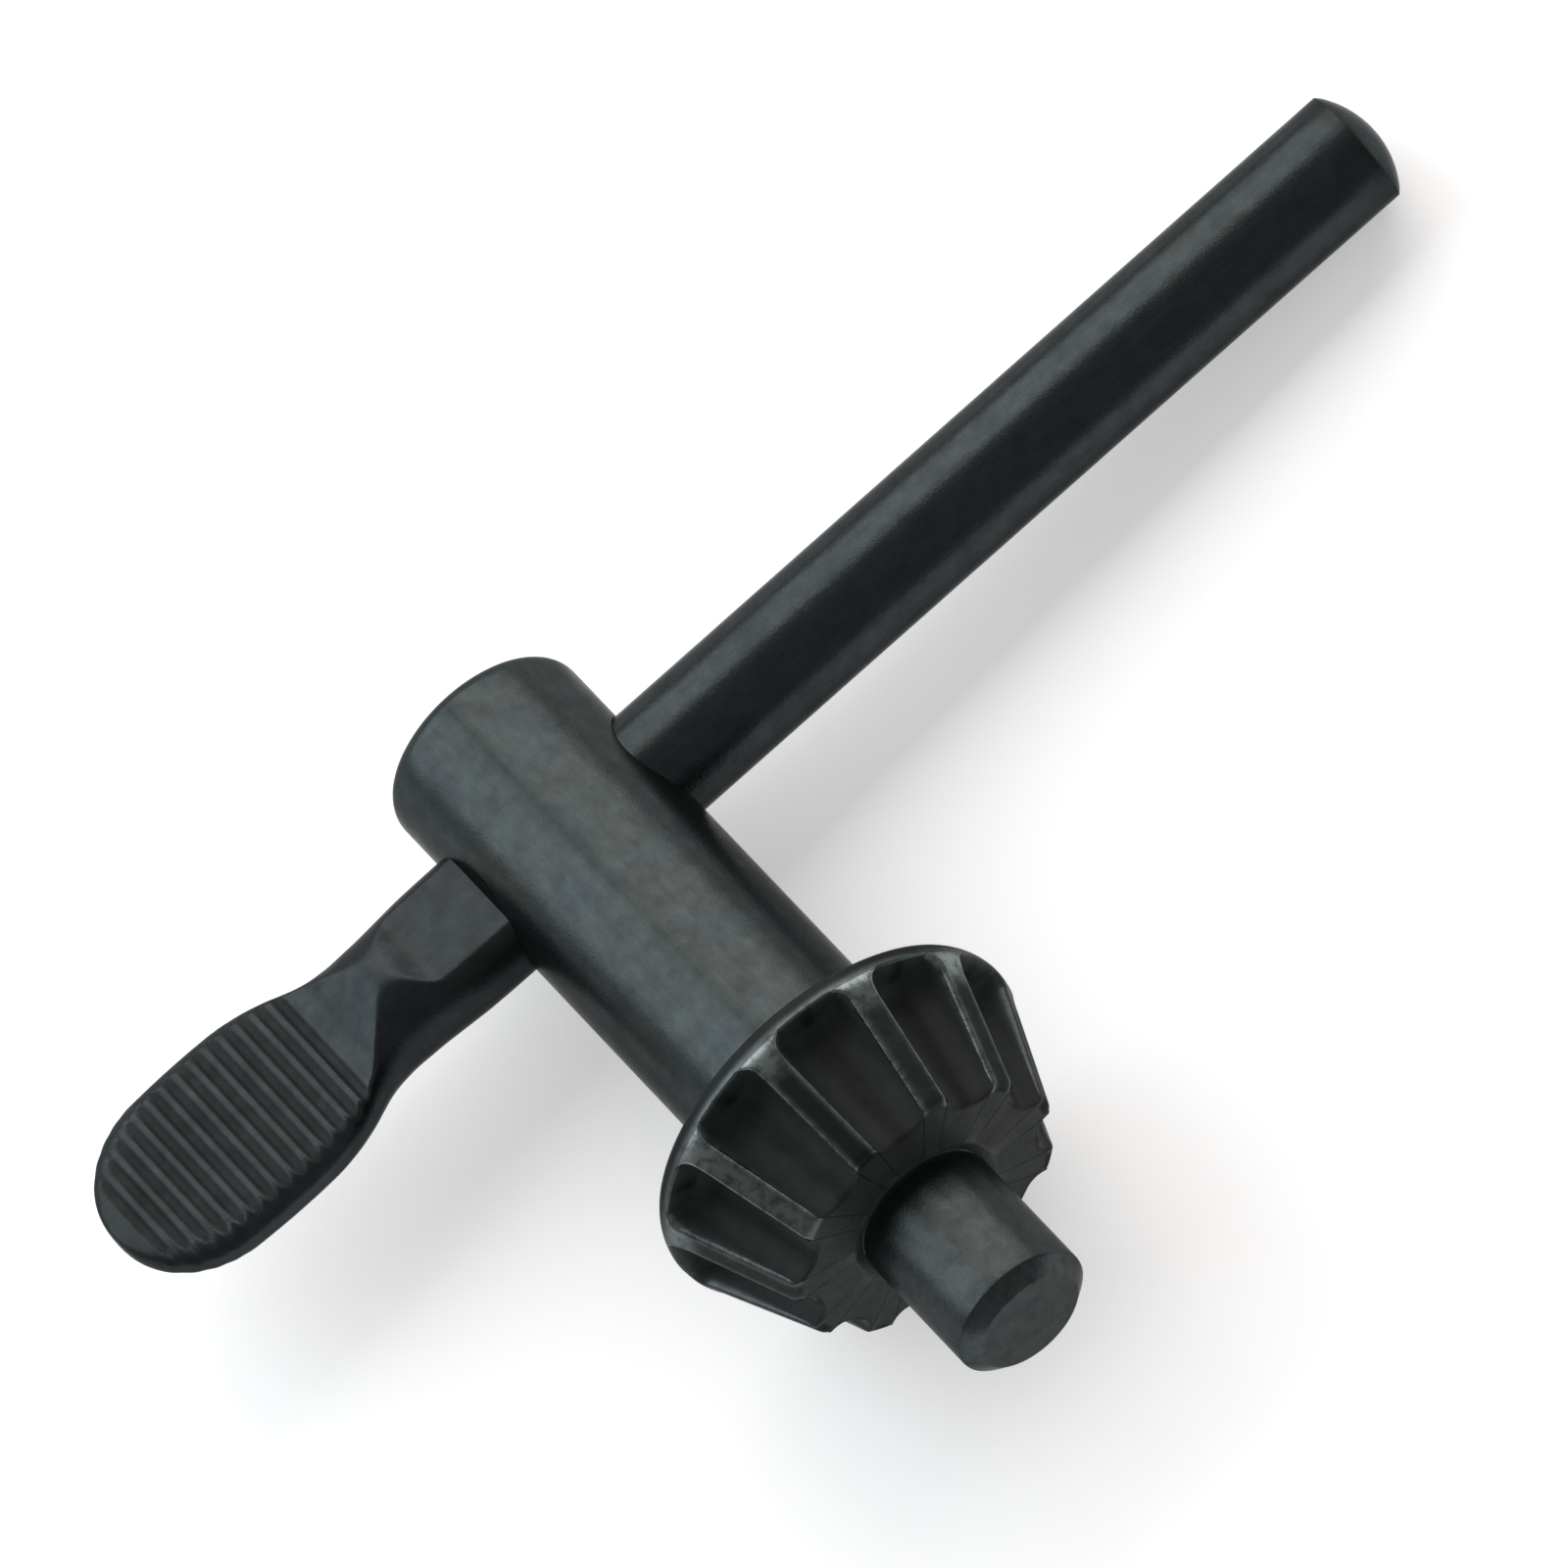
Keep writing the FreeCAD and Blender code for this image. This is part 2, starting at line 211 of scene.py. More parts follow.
# The wall that ends each tooth space just short of the rim, and the small round over its edge. The
# columns on the crests step back a little along the rim meanwhile.
last_r = np.hypot(bevel_rows[-1, :, 0], bevel_rows[-1, :, 2])
last_a = np.unwrap(np.arctan2(bevel_rows[-1, :, 2], bevel_rows[-1, :, 0]))
crest_all = all_round(crest_share)
wall_r = float(blank_r(np.array(flute_start)))
out_r = float(blank_r(np.array(flute_start - RIM_EDGE)))
f = np.array([0.25, 0.5, 0.75, 1.0])[:, None]
up_r = last_r + f * (wall_r - RIM_EDGE - last_r) * (1 - crest_all) + f * (wall_r - last_r) * crest_all
up_s = flute_start - CREST_STEP * f * crest_all
over_r = (wall_r - RIM_EDGE * (1 - f) ** 2) * (1 - crest_all) + (wall_r + (out_r - wall_r) * f) * crest_all
crest_s = flute_start - CREST_STEP - (RIM_EDGE - CREST_STEP) * f
over_s = (flute_start - RIM_EDGE * f ** 2) * (1 - crest_all) + crest_s * crest_all
wall_rows = about_axis(np.concatenate([up_r, over_r]), np.concatenate([up_s, over_s]), last_a)

# Rim, its back face and the fillet to the shank, where the columns even out
column_step = 2 * math.pi / columns
first_column = round(last_a[0] / column_step)
even_a = (first_column + np.arange(columns)) * column_step
rim_s = np.linspace(flute_start - RIM_EDGE, RIM_BACK + 0.12, 7)[1:]
back_r = np.linspace(RIM_BACK_R - RIM_BACK_SOFT, SHANK_R + RIM_FILLET, 6)[1:]
rim_profile = np.concatenate([
    np.stack([blank_r(rim_s), rim_s], -1),
    [[RIM_BACK_R - 0.01, RIM_BACK + 0.05], [RIM_BACK_R - 0.05, RIM_BACK + 0.012],
     [RIM_BACK_R - RIM_BACK_SOFT, RIM_BACK]],
    np.stack([back_r, 0 * back_r + RIM_BACK], -1),
    arc_points((SHANK_R + RIM_FILLET, RIM_BACK - RIM_FILLET), RIM_FILLET, 90, 180, 8)[1:]])
# After the rim's outer rows, the columns go from those of the teeth to even ones over six rows
ease = np.clip((np.arange(len(rim_profile)) - 8) / 6, 0, 1)[:, None]
rim_rows = turned_rings(rim_profile, last_a * (1 - ease) + even_a * ease)

# Shank, open in a box round each end of the cross hole, and its rounded far end
HOLE_BOX_S = 5.4
HOLE_BOX_COLUMNS = 62
ROWS_TO_BOX = 12
box_s = np.linspace(HOLE_BOX_S, -HOLE_BOX_S, 25)
shank_s = np.concatenate([
    np.linspace(RIM_BACK - RIM_FILLET, HOLE_BOX_S, ROWS_TO_BOX + 2)[1:-1], box_s,
    np.linspace(-HOLE_BOX_S, -TOP_REACH + TOP_ROUND, 4)[1:]])
shank_rows = turned_rings(np.concatenate([
    np.stack([0 * shank_s + SHANK_R, shank_s], -1),
    arc_points((SHANK_R - TOP_ROUND, -TOP_REACH + TOP_ROUND), TOP_ROUND, 0, -90, 10)[1:],
    [[3.4, -TOP_REACH], [1.7, -TOP_REACH]]]), even_a)

# Front face, the turned ring at the pilot's foot, the pilot and its chamfer
face_r = np.hypot(front_rows[0, :, 0], front_rows[0, :, 2])
face_a = np.unwrap(np.arctan2(front_rows[0, :, 2], front_rows[0, :, 0]))
ring_out = PILOT_R + RING_WIDTH
f = np.array([0.04, 0.1, 0.2, 0.4, 0.6, 0.8, 0.95])[:, None]
face_rows = about_axis(ring_out + (face_r - ring_out) * f, FRONT, face_a)
end_r = PILOT_R - PILOT_CHAMFER_IN
neck_r = PILOT_R - NECK_IN
chamfer_s = PILOT_END - PILOT_CHAMFER_ALONG
pilot_s = np.linspace(chamfer_s - 0.12, FRONT + SEAT_GAP + 0.04, 10)
pin_profile = np.concatenate([
    [[1.0, PILOT_END], [2.2, PILOT_END], [end_r - 0.1, PILOT_END], [end_r - 0.02, PILOT_END - 0.02],
     [end_r + 0.06, PILOT_END - 0.08], [PILOT_R - 0.1, chamfer_s + 0.08], [PILOT_R - 0.025, chamfer_s]],
    np.stack([0 * pilot_s + PILOT_R, pilot_s], -1),
    [[PILOT_R - 0.02, FRONT + SEAT_GAP - 0.05], [neck_r + 0.02, FRONT - RING_DEPTH + 0.06],
     [neck_r + 0.07, FRONT - RING_DEPTH + 0.02], [ring_out - 0.08, FRONT - 0.06], [ring_out, FRONT]]])
# The pilot's last eight rows go from even columns to those of the front face
ease = np.zeros((len(pin_profile), 1))
ease[-8:-1, 0] = 1 - 0.12 * np.arange(8, 1, -1)
ease[-1] = 1
pin_rows = turned_rings(pin_profile, even_a * (1 - ease) + face_a * ease)

# All rows from the pilot's end to the far end of the shank. Near is the side of +X, far that of -X.
body_rows = np.concatenate([
    pin_rows, face_rows, front_rows, flank_rows, bevel_rows, wall_rows, rim_rows, shank_rows])
body_points = body_rows.reshape(-1, 3)
row_count = len(body_rows)
shank_from = row_count - len(shank_rows)
first_box = shank_from + ROWS_TO_BOX
near_middle = -first_column
far_middle = near_middle + columns // 2
skip = np.zeros((row_count - 1, columns), bool)
for middle in (near_middle, far_middle):
    across = (np.arange(-HOLE_BOX_COLUMNS, HOLE_BOX_COLUMNS) + middle) % columns
    skip[first_box:first_box + len(box_s) - 1, across] = True


def ring_faces(rows, columns, skip=None):
    """Four-sided faces of a grid of closed rings, joined at the last column, without those in skip.
    Each face goes from one row back to the row before, which turns it outwards."""
    r, c = np.meshgrid(np.arange(rows - 1), np.arange(columns), indexing="ij")
    after = (c + 1) % columns
    quads = np.stack([(r + 1) * columns + c, (r + 1) * columns + after,
                      r * columns + after, r * columns + c], -1)
    return quads.reshape(-1, 4) if skip is None else quads[~skip]


def box_loop(middle):
    """Numbers of the points round one opening of the shank's grid, in order."""
    c = (np.arange(-HOLE_BOX_COLUMNS, HOLE_BOX_COLUMNS + 1) + middle) % columns
    r = np.arange(first_box, first_box + len(box_s))
    return np.concatenate([r[0] * columns + c[:-1], r[:-1] * columns + c[-1],
                           r[-1] * columns + c[:0:-1], r[:0:-1] * columns + c[0]])


def hole_rings(loop, side):
    """Rings on the shank from the edge of the opening to the bar's hole, its small edge round, and the
    first ring inside it. A point at a share f is that share of the way across the unrolled shank."""
    outer = body_points[loop]
    angle = np.arctan2(outer[:, 2], side * outer[:, 0])
    s = -outer[:, 1]
    a = np.arctan2(SHANK_R * np.sin(angle), s)
    edge_r = HOLE_R + HOLE_EDGE
    f = np.array([0.25, 0.5, 0.75, 0.9, 1.0])[:, None]
    angle_f = angle + (np.arcsin(edge_r * np.sin(a) / SHANK_R) - angle) * f
    s_f = s + (edge_r * np.cos(a) - s) * f
    on_shank = np.stack([side * SHANK_R * np.cos(angle_f), -s_f, SHANK_R * np.sin(angle_f)], -1)
    out, depth = np.array([[0.5, 0.13, 0.0], [0.13, 0.5, 1.0]])[..., None]
    radius = HOLE_R + out * HOLE_EDGE
    z = radius * np.sin(a)
    x = np.sqrt(SHANK_R ** 2 - z ** 2) - depth * HOLE_EDGE
    return np.concatenate([on_shank, np.stack([side * x, -radius * np.cos(a), z], -1)])


def patch_faces(loop, offset, ring_count):
    """Faces from an opening's edge inwards over its rings, and the numbers of the last ring's points."""
    count = len(loop)
    ids = np.concatenate([loop[None], offset + np.arange(ring_count * count).reshape(ring_count, count)])
    after = np.roll(ids, -1, 1)
    return np.stack([ids[1:], after[1:], after[:-1], ids[:-1]], -1).reshape(-1, 4), ids[-1]


near_loop, far_loop = box_loop(near_middle), box_loop(far_middle)
near_rings, far_rings = hole_rings(near_loop, 1.0), hole_rings(far_loop, -1.0)
near_from = len(body_points)
far_from = near_from + near_rings[..., 0].size
near_faces, near_last = patch_faces(near_loop, near_from, len(near_rings))
far_faces, far_last = patch_faces(far_loop, far_from, len(far_rings))
body_points = np.concatenate([body_points, near_rings.reshape(-1, 3), far_rings.reshape(-1, 3)])
# The bore joins both holes: each point of the near edge goes to the far point at the same height and place
near_way = np.arctan2(body_points[near_last, 2], body_points[near_last, 1])
far_way = np.arctan2(body_points[far_last, 2], body_points[far_last, 1])
mate = far_last[np.argmin(np.abs(np.angle(np.exp(1j * (near_way[:, None] - far_way[None])))), 1)]
bore_faces = np.stack([mate, np.roll(mate, -1), np.roll(near_last, -1), near_last], -1)
body_faces = np.concatenate([ring_faces(row_count, columns, skip), near_faces, far_faces, bore_faces])
pilot_cap = tuple(range(columns))
top_cap = tuple(range(row_count * columns - 1, (row_count - 1) * columns - 1, -1))

# Marks for the finish: a dark mark where the black oxide is thick and where shade is painted on, matt where
# it is dull as soot, and a worn mark where it is rubbed off and where a highlight is painted on. First those
# across half a tooth space, in the order of its points; in a tooth space the dark mark is thick oxide and
# painted shade together.
oxide_and_painted_shade_half = np.concatenate([[1, 1, 1, 0.98, 0.95], np.linspace(0.9, 0.75, CORNER_POINTS),
                              [0.75, 0.75, 0.7, 0.6, 0.4, 0.1], np.zeros(EDGE_POINTS + LAND_POINTS)])
matt_half = np.concatenate([[0.35, 0.35, 0.42, 0.55, 0.7], [0.85, 0.95, 1, 1, 1, 1, 1],
                            [1, 1, 1, 0.8, 0.45, 0.15], np.zeros(EDGE_POINTS + LAND_POINTS)])
worn_half = np.concatenate([np.zeros(FLOOR_POINTS + CORNER_POINTS), [0, 0, 0, 0.06, 0.2, 0.36],
                            [0.55, 0.58, 0.58, 0.58, 0.5], [0.28, 0.03, 0, 0]])
land_half = np.concatenate([np.zeros(columns_half - LAND_POINTS), [0.2, 0.8, 1, 1]])


def by_tooth(values):
    """One number for each tooth, in all its columns: it has half of one tooth space and half of the next."""
    return np.repeat(np.stack([values, np.roll(values, -1)], 1).ravel(), columns_half)


# A chuck rubs some teeth more than others, at the two edges of a tooth and at the middle of its land
edge_rub = by_tooth([0.12, 0.8, 0.9, 1.0, 0.9, 0.5, 0.15, 0.6, 0.8, 0.4, 0.7])
middle_rub = by_tooth([0.05, 0.15, 0.2, 0.0, 0.6, 0.2, 0.05, 0.2, 0.1, 0.4, 0.1])
oxide_and_painted_shade_round, matt_round, land_round = all_round(oxide_and_painted_shade_half), all_round(matt_half), all_round(land_half)
worn_round = np.maximum(all_round(worn_half) * edge_rub, land_round * middle_rub)


def by_row(values):
    """One number for each row of points, the same in all its columns."""
    return np.array(values)[:, None]


pin_end = len(pin_rows)
spaces_from = pin_end + len(face_rows)
wall_at = spaces_from + len(front_rows) + len(flank_rows) + len(bevel_rows)
rim_at = wall_at + len(wall_rows)
dark_and_painted_shade, worn_and_painted_highlight, matt = np.zeros((3, row_count, columns))
# The pilot, with its rubbed chamfer, painted shade where it meets its foot, the dull recess at its foot, and
# the front face
worn_and_painted_highlight[:6] = by_row([0.05, 0.05, 0.06, 0.08, 0.13, 0.06])
dark_and_painted_shade[6:pin_end - 6] = 0.22
worn_and_painted_highlight[6:pin_end - 6] = 0.06
worn_and_painted_highlight[pin_end - 4:pin_end + 1] = by_row([0.2, 0.25, 0.25, 0.2, 0.1])
dark_and_painted_shade[pin_end - 6:spaces_from] = by_row([0.15, 0.3, 0, 0, 0, 0, 0, 0.1, 0.3, 0.45, 0.5, 0.45, 0.4])
dark_and_painted_shade[pin_end:spaces_from] = np.maximum(dark_and_painted_shade[pin_end:spaces_from], 0.55 * oxide_and_painted_shade_round)
matt[pin_end - 6:spaces_from] = by_row([0.2, 0.6, 1, 1, 1, 1, 1, 1, 1, 0.95, 0.9, 0.8, 0.7])
# The tooth spaces, with thick oxide and painted shade in them. Lands that aren't rubbed are darkened with a
# painted dark reflection until near the rim.
land_painted_shade = np.clip((wall_at - 9 - np.arange(spaces_from, wall_at)) / 4, 0, 1)
dark_and_painted_shade[spaces_from:wall_at] = oxide_and_painted_shade_round + land_round * (1 - middle_rub) * by_row(land_painted_shade)
dark_and_painted_shade[wall_at - 10:wall_at] *= by_row(np.linspace(1, 0.35, 10))
worn_and_painted_highlight[spaces_from:wall_at] = worn_round
matt[spaces_from:wall_at] = matt_round
# The walls that end them, darkened with oxide and painted shade, and the rim's corner behind, lighter with
# rubbing and a painted highlight
dark_and_painted_shade[wall_at:rim_at] = oxide_and_painted_shade_round * by_row([0.3, 0.25, 0.25, 0.25, 0.2, 0.1, 0, 0])
worn_and_painted_highlight[wall_at:rim_at] = np.maximum(worn_round * by_row(np.linspace(0.7, 0.2, 8)),
                                  by_row([0, 0, 0.04, 0.13, 0.22, 0.25, 0.22, 0.18]))
matt[wall_at:rim_at] = matt_round * by_row([1, 1, 0.95, 0.7, 0.35, 0.1, 0, 0])
# Round the rim: a painted highlight on the edges of its arc, and painted shade in a band over the arc and
# round its back corner
worn_and_painted_highlight[rim_at:rim_at + 6] = by_row([0.12, 0.03, 0, 0, 0, 0.06])
dark_and_painted_shade[rim_at:rim_at + 10] = by_row([0.1, 0.6, 0.85, 0.85, 0.5, 0.1, 0.2, 0.5, 0.5, 0.3])
# The lands are lighter where they run into the rim
spread = np.interp(np.arange(20), [0, 3, 8, 12, 13, 15, 19], [0, 0.75, 1, 1, 0.6, 0.2, 0.05])
spread = by_row(spread) * (1 - np.clip(oxide_and_painted_shade_round * 2, 0, 1)) * np.clip(1.2 * edge_rub, 0, 1)
worn_and_painted_highlight[wall_at - 13:rim_at - 1] = np.maximum(worn_and_painted_highlight[wall_at - 13:rim_at - 1], spread)
# A faint darker line runs along the shank
SHANK_LINE_AT = math.radians(94.35)
SHANK_LINE_WIDTH = math.radians(1.4)
shank_line = 0.3 * np.exp(-(np.angle(np.exp(1j * (even_a - SHANK_LINE_AT))) / SHANK_LINE_WIDTH) ** 2)
dark_and_painted_shade[shank_from:shank_from + len(shank_s)] += shank_line * by_row(np.linspace(0.5, 1, len(shank_s)))
hole_marks = np.zeros(len(body_points) - near_from)
body_marks = {mark: np.concatenate([values.ravel(), hole_marks])
              for mark, values in (("dark_and_painted_shade", dark_and_painted_shade), ("worn_and_painted_highlight", worn_and_painted_highlight), ("matt", matt))}

# The key is worked out along its own axes, body along Y with the pilot toward -Y and bar along X.
# It lies tipped on its gear rim, the far end of its shank and the plain end of its bar.
MM = 0.001
key_up = np.array([-0.070055, -0.166292, 0.983585])
key_up /= np.linalg.norm(key_up)
key_ahead = np.array([1.0, 0.0, 0.0]) - key_up * key_up[0]
key_ahead /= np.linalg.norm(key_ahead)
key_turn = np.array([key_ahead, np.cross(key_up, key_ahead), key_up])
key_shift = np.array([-11.9751, 15.0721, 7.1457])


def make_piece(name, points, quads, fans, marks, material):
    """One closed mesh from points in the key's axes, four-sided faces and end faces. The points are
    turned and moved to where the key rests, in metres. Each of the marks is one number for every point,
    which the finish reads by name. Edges sharper than 38 degrees stay crisp."""
    mesh = bpy.data.meshes.new(name)
    placed = (points @ key_turn.T + key_shift) * MM
    mesh.from_pydata(placed.tolist(), [], [tuple(q) for q in quads.tolist()] + [tuple(f) for f in fans])
    for mark, values in marks.items():
        mesh.attributes.new(mark, "FLOAT", "POINT").data.foreach_set("value", values.astype(np.float32))
    mesh.validate()
    mesh.materials.append(material)
    mesh.shade_smooth()
    mesh.set_sharp_from_angle(angle=math.radians(38.0))
    piece = bpy.data.objects.new(name, mesh)
    bpy.context.scene.collection.objects.link(piece)
    return piece


# The finish. Each scale is how many times a noise changes over a metre.
# Colours that the marks blend toward: the light one also serves as painted highlight, the dark one as
# painted shade
RUBBED_STEEL_AND_PAINTED_HIGHLIGHT = (0.222, 0.252, 0.245)
OXIDE_AND_PAINTED_SHADE = (0.0172, 0.0182, 0.0182)
GRAIN_SCALE = 6500.0
LINE_SCALE = 3200.0
LINE_STRETCH = 6.0
RUB_SCALE = 1500.0


def blackened_steel(name, cool, warm, rough, cloud_scale, ways):
    """Black-oxide steel. Two sizes of cloud mix a cool grey and a warm one and shift the brightness, and
    the streaks of the turning or drawing run along the first of three ways. Places with the dark mark go
    darker, where the oxide is thick and where shade is painted on, those with the worn mark lighter, where
    the steel is rubbed and where a highlight is painted on, and matt ones dull, with none of the metal's
    gloss."""
    material = bpy.data.materials.new(name)
    material.use_nodes = True
    nodes, links = material.node_tree.nodes, material.node_tree.links
    shader = nodes["Principled BSDF"]

    def node(kind, **values):
        """A new node with its sockets or its own settings set by name."""
        made = nodes.new("ShaderNode" + kind)
        for key, value in values.items():
            if key in made.inputs:
                made.inputs[key].default_value = value
            else:
                setattr(made, key, value)
        return made

    def noise(scale, detail, vector):
        """A noise of one scale and so many finer layers at a place, about 0.5 on average."""
        made = node("TexNoise", Scale=scale, Detail=detail, Roughness=0.6)
        links.new(vector, made.inputs["Vector"])
        return made.outputs["Fac"]

    def remap(value, low, high, to_low, to_high):
        """A number between low and high moved to between two others, and held there."""
        made = nodes.new("ShaderNodeMapRange")
        for index, number in enumerate((low, high, to_low, to_high), 1):
            made.inputs[index].default_value = number
        links.new(value, made.inputs[0])
        return made.outputs[0]

    def vary(value, to_low, to_high):
        """A noise, which is mostly between 0.3 and 0.7, moved to between two other numbers."""
        return remap(value, 0.3, 0.7, to_low, to_high)

    def math_node(operation, a, b):
        """The result of a and b, each a plain number or what another node gives."""
        made = node("Math", operation=operation)
        for socket, value in zip(made.inputs, (a, b)):
            if isinstance(value, float):
                socket.default_value = value
            else:
                links.new(value, socket)
        return made.outputs[0]

    def times(a, b):
        return math_node("MULTIPLY", a, b)

    def plus(a, b):
        return math_node("ADD", a, b)

    def blend(share, a, b):
        """Colour a with a share of colour b."""
        made = node("Mix", data_type="RGBA")
        links.new(share, made.inputs[0])
        for index, value in ((6, a), (7, b)):
            if isinstance(value, tuple):
                made.inputs[index].default_value = (*value, 1)
            else:
                links.new(value, made.inputs[index])
        return made.outputs[2]

    place = nodes.new("ShaderNodeTexCoord").outputs["Object"]
    turned = nodes.new("ShaderNodeMapping")
    turned.vector_type = "TEXTURE"
    turned.inputs["Rotation"].default_value = Matrix([way.tolist() for way in ways]).transposed().to_euler()
    turned.inputs["Scale"].default_value = (LINE_STRETCH, 1.0, 1.0)
    links.new(place, turned.inputs["Vector"])
    dark_and_painted_shade_mark, worn_and_painted_highlight_mark, matt_mark = (
        node("Attribute", attribute_name=mark).outputs["Fac"] for mark in ("dark_and_painted_shade", "worn_and_painted_highlight", "matt"))
    cloud = noise(cloud_scale, 4.0, place)
    wide_drift = noise(cloud_scale * 0.28, 2.0, place)
    near_drift = noise(cloud_scale * 1.3, 2.0, place)
    grain = noise(GRAIN_SCALE, 3.0, place)
    lines = noise(LINE_SCALE, 3.0, turned.outputs["Vector"])
    tinge = plus(times(wide_drift, 0.7), times(near_drift, 0.3))
    colour = blend(remap(tinge, 0.4, 0.6, 0.0, 1.0), cool, warm)
    shade = times(times(vary(cloud, 0.84, 1.16), vary(lines, 0.92, 1.08)), vary(grain, 0.93, 1.07))
    shaded = nodes.new("ShaderNodeVectorMath")
    shaded.operation = "SCALE"
    links.new(colour, shaded.inputs[0])
    links.new(shade, shaded.inputs["Scale"])
    # The worn mark lightens toward rubbed steel and also paints a highlight along the rim. The dark mark
    # darkens toward sooted oxide and also paints shade in the tooth spaces, on the lands, round the rim, at
    # the pilot's root, and in the bar's grooves, on its sides and at its dome.
    rubbed_and_painted_highlight = times(worn_and_painted_highlight_mark, remap(noise(RUB_SCALE, 4.0, place), 0.35, 0.55, 0.25, 1.0))
    colour = blend(rubbed_and_painted_highlight, shaded.outputs[0], RUBBED_STEEL_AND_PAINTED_HIGHLIGHT)
    colour = blend(times(dark_and_painted_shade_mark, vary(cloud, 1.0, 0.86)), colour, OXIDE_AND_PAINTED_SHADE)
    links.new(colour, shader.inputs["Base Color"])
    roughness = plus(vary(cloud, rough + 0.04, rough - 0.03), vary(grain, -0.03, 0.03))
    roughness = plus(plus(roughness, times(dark_and_painted_shade_mark, 0.26)), times(matt_mark, 0.15))
    links.new(roughness, shader.inputs["Roughness"])
    skin = node("Bump", Strength=0.3, Distance=0.00004)
    links.new(plus(grain, cloud), skin.inputs["Height"])
    links.new(skin.outputs["Normal"], shader.inputs["Normal"])
    links.new(remap(matt_mark, 0.0, 1.0, 0.9, 0.0), shader.inputs["Metallic"])
    shader.inputs["Specular IOR Level"].default_value = 0.3
    shader.inputs["Specular Tint"].default_value = (0.5, 0.5, 0.5, 1)
    return material


bar_way, body_way = key_turn[:, 0], key_turn[:, 1]
body_steel = blackened_steel("body_steel", (0.0383, 0.0456, 0.0482), (0.0399, 0.0466, 0.0443), 0.29, 850.0,
                             (body_way, bar_way, key_up))
key_body = make_piece("toothed_body", body_points, body_faces, [pilot_cap, top_cap], body_marks, body_steel)
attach(key_body, "root")
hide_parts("key_body")

# Handle bar
# Blackened round steel rod with a domed plain end. Its other end is pressed flat into a ridged
# thumb pad after the rod is through the body, and is spread beside the body so that it can't slide out.

# Sizes in mm. On the pad side, u is the distance from the body's axis toward the pad.
BAR_R = 3.35
PLAIN_REACH = 55.5
DOME = 1.2
PAD_REACH = 31.5
PAD_HALF = 5.6
PAD_Z = 1.35
EDGE_HALF = 2.55
STEP_ENDS = 7.6
NECK_AT = 12.9
NECK_W = BAR_R * 1.05
NECK_H = BAR_R * 1.03
PAD_FULL_AT = 20.6
TIP_STARTS = 25.6
STAKED_HALF = 3.88
STAKED_Z = 2.46
OVER_Z = BAR_R * 1.02
FLAT_ENDS = 10.0
RAMP_FROM = 12.7
THIN_FROM = 26.6
THIN = 0.5
RIDGE_PITCH = 1.005
GROOVES = 14
GROOVE_FIRST = 16.95
GROOVE_DEPTH = 0.26
ROD_COLUMNS = 128
DOME_ROWS = 11

# The dome and the round rod, on to just past the middle of the body
around = 2 * math.pi * np.arange(ROD_COLUMNS) / ROD_COLUMNS
dome_r = (BAR_R ** 2 + DOME ** 2) / (2 * DOME)
dome_a = np.linspace(0, math.asin(BAR_R / dome_r), DOME_ROWS + 1)[1:]
dome_profile = np.stack([dome_r * np.sin(dome_a), PLAIN_REACH - dome_r + dome_r * np.cos(dome_a)], -1)
dome_profile[-1, 0] -= 0.05  # drawn in a little, which softens the dome's edge
rod_x = np.concatenate([PLAIN_REACH - DOME - np.array([0.06, 0.2]),
                        [53.4, 52.4, 50.0, 42.0, 34.0, 26.0, 18.0, 12.0, 8.0, 4.0, 0.0, -3.0]])
rod_profile = np.concatenate([dome_profile, np.stack([0 * rod_x + BAR_R, rod_x], -1)])
rod_r, rod_along = rod_profile[:, 0:1], rod_profile[:, 1:2]
rod_rows = np.stack([rod_along + 0 * around, rod_r * np.cos(around), rod_r * np.sin(around)], -1)

# How the oval widens from the neck to the pad, and how it narrows from the body to the neck
widening_at = [0.0, 0.12, 0.21, 0.30, 0.39, 0.47, 0.56, 0.65, 0.73, 0.82, 0.91, 1.0]
widening_to = [0.0, 0.005, 0.05, 0.11, 0.22, 0.355, 0.525, 0.66, 0.765, 0.855, 0.925, 0.965]
narrowing_at = [0.0, 0.22, 0.45, 0.65, 0.84, 1.0]
narrowing_to = [1.0, 0.98, 0.84, 0.48, 0.12, 0.0]
# The die that presses the pad: places along it, and the height of its face over the bar's axis there
DIE_U = np.concatenate([[0.0], FLAT_ENDS + np.array([0.1, 0.4, 0.85, 1.4, 1.8, 2.3]),
                        RAMP_FROM + np.array([0, 0.6, 1.4, 2.2, 2.9, 3.35, 3.9]),
                        THIN_FROM + np.array([0, 1.7, 3.3]), [PAD_REACH, 40.0]])
DIE_Z = np.concatenate([[STAKED_Z], STAKED_Z + np.array([0, 0.10, 0.36, 0.68, 0.86]), [OVER_Z, OVER_Z],
                        PAD_Z + np.array([1.84, 1.36, 0.85, 0.36, 0.12, 0, 0, -0.07, -0.24, -THIN, -THIN])])


def smooth_row(at, values, xs, run):
    """A table read at xs and evened out by a running mean over a length of run."""
    fine = np.linspace(xs.min() - run, xs.max() + run, 2400)
    read = np.interp(fine, at, values)
    width = 2 * int(run / (fine[1] - fine[0]) / 2) + 1
    read = np.convolve(np.pad(read, width // 2, mode="edge"), np.ones(width) / width, mode="valid")
    return np.interp(xs, fine, read)


